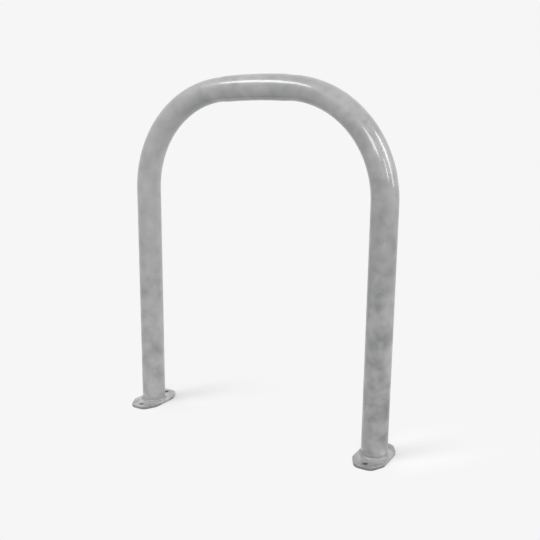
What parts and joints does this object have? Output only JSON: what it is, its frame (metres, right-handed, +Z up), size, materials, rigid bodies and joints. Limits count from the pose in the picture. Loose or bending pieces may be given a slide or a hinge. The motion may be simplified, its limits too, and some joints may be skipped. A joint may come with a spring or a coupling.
{
  "type": "hoop bike rack",
  "caption": "Galvanised steel hoop bike rack: a round tube bent into an arch, with an octagonal bolt-down base plate welded to each foot.",
  "frame": {"origin": "on the ground, midway between the two legs", "axes": "+Z up, X from the left leg to the right leg in the hoop's plane, Y across the hoop along the base plates"},
  "size_m": [0.7562, 0.1464, 0.896],
  "materials": {
    "zinc_tube": "hot-dip galvanised, cloudy satin zinc",
    "zinc_plate": "hot-dip galvanised, cloudy satin zinc",
    "zinc_weld": "hot-dip galvanised over a rippled weld"
  },
  "bodies": {
    "root": {"hoop_tube": "zinc_tube", "left_base_plate": "zinc_plate", "right_base_plate": "zinc_plate", "left_weld_bead": "zinc_weld", "right_weld_bead": "zinc_weld"}
  },
  "joints": []
}
